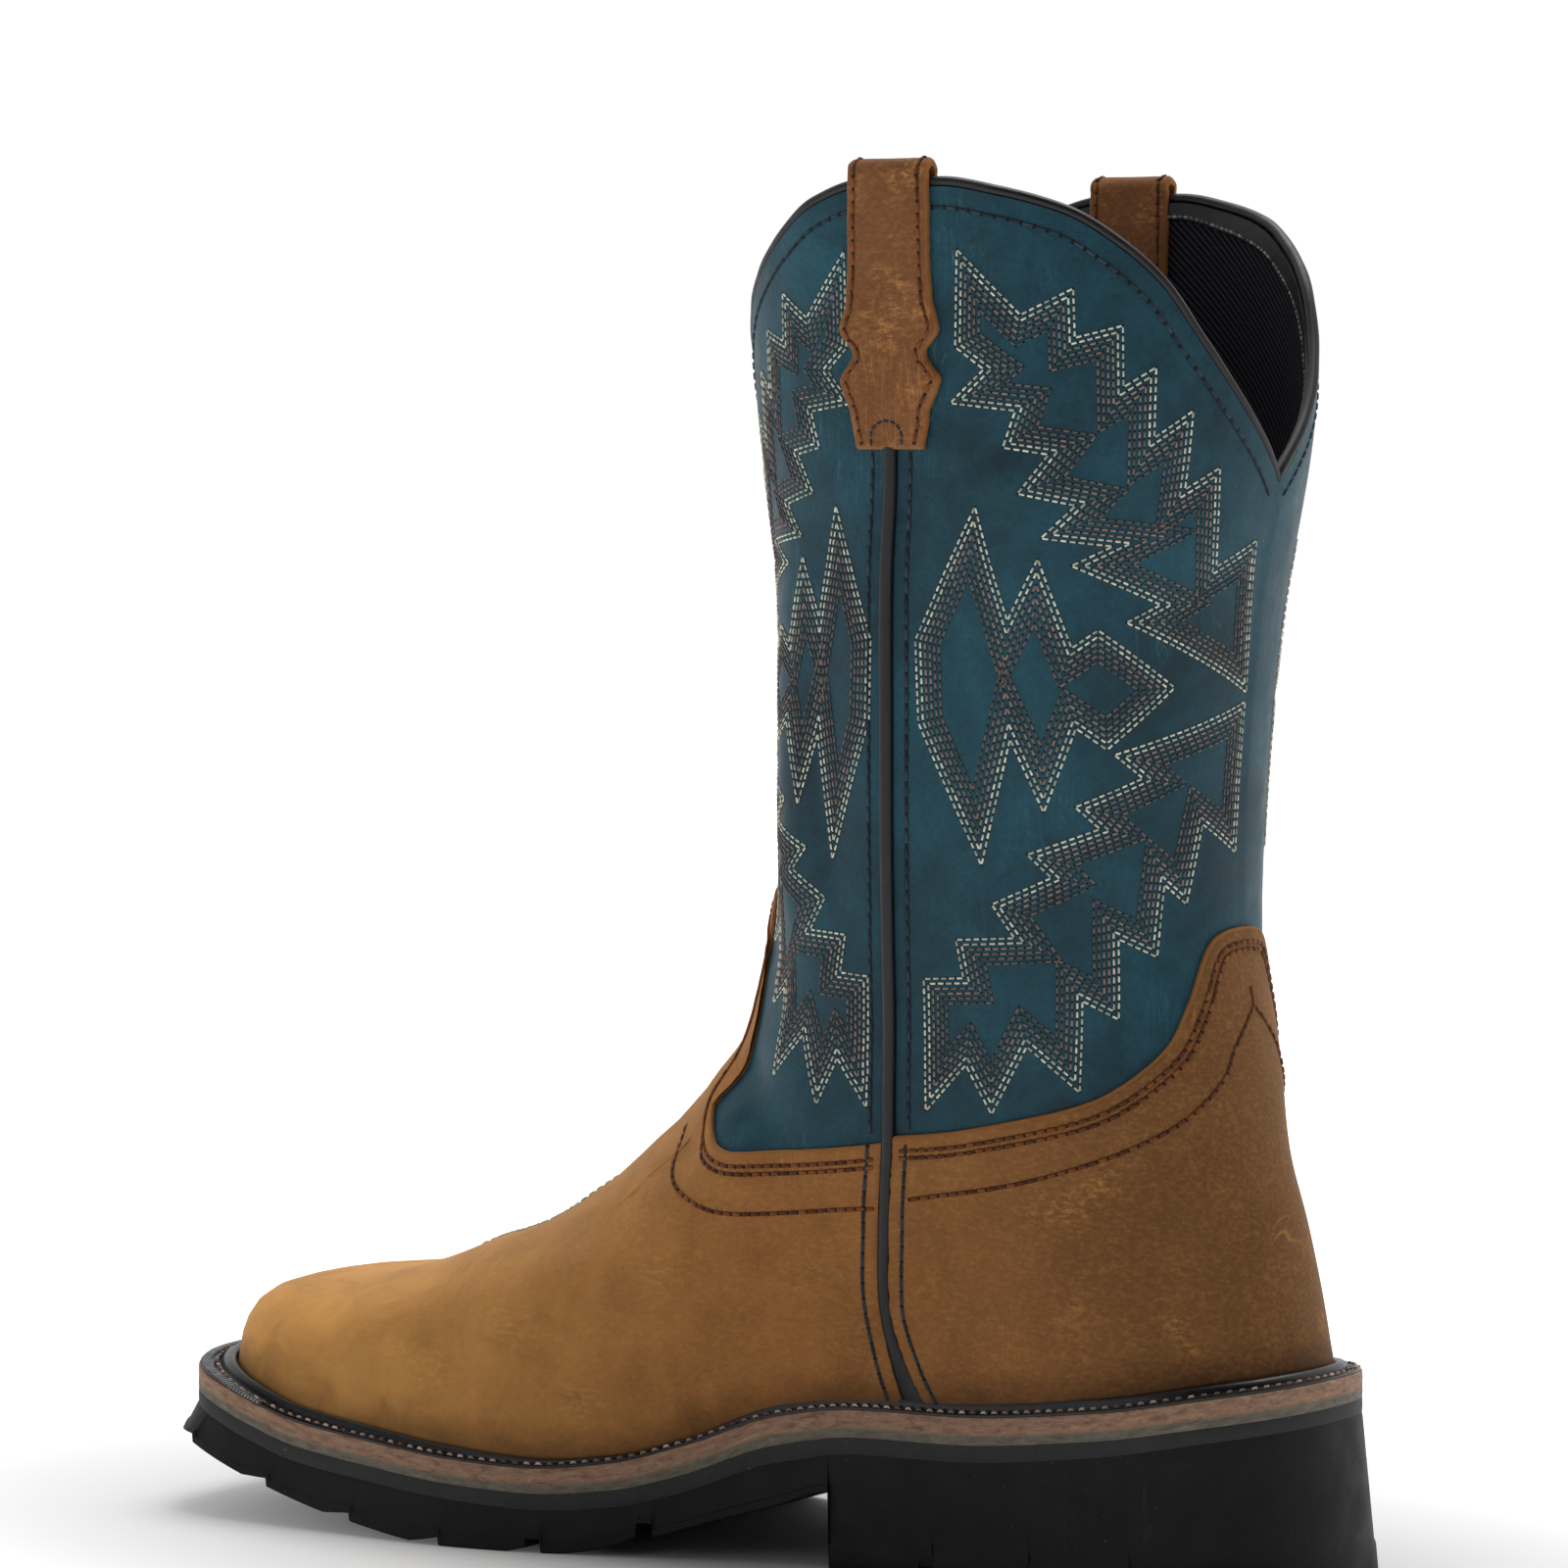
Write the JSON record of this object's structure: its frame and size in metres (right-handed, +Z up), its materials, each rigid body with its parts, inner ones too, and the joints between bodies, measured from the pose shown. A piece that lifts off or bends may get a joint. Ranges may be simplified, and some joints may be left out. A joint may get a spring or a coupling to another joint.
{
  "type": "western work boot",
  "caption": "Pull-on western work boot, left: scalloped shaft, pull straps, vamp and counter overlays, welted layered lug sole with a heel block.",
  "frame": {"origin": "on the floor under the middle of the heel", "axes": "+X to the toe, +Y to the wearer's left, which is the outer side of this left boot, +Z up"},
  "size_m": [0.306, 0.119, 0.3237],
  "materials": {
    "shaft_leather": "oiled pull-up leather, teal",
    "foot_leather": "oiled nubuck, tan brown",
    "binding": "smooth black rolled binding",
    "piping": "smooth black cord piping",
    "strap_leather": "oiled nubuck with raw edges",
    "insole": "dark lined footbed",
    "welt_rubber": "satin black moulded rubber",
    "midsole": "matt brown layer with leather-like streaks",
    "grey_rubber": "matt dark grey rubber",
    "outsole_rubber": "matt black moulded rubber"
  },
  "bodies": {
    "root": {"upper": "shaft_leather", "vamp": "foot_leather", "counter": "foot_leather", "collar_binding": "binding", "side_piping_outer": "piping", "side_piping_inner": "piping", "pull_strap_outer": "strap_leather", "pull_strap_inner": "strap_leather", "insole": "insole", "welt": "welt_rubber", "midsole": "midsole", "midsole_lower": "grey_rubber", "outsole": "outsole_rubber"}
  },
  "joints": []
}
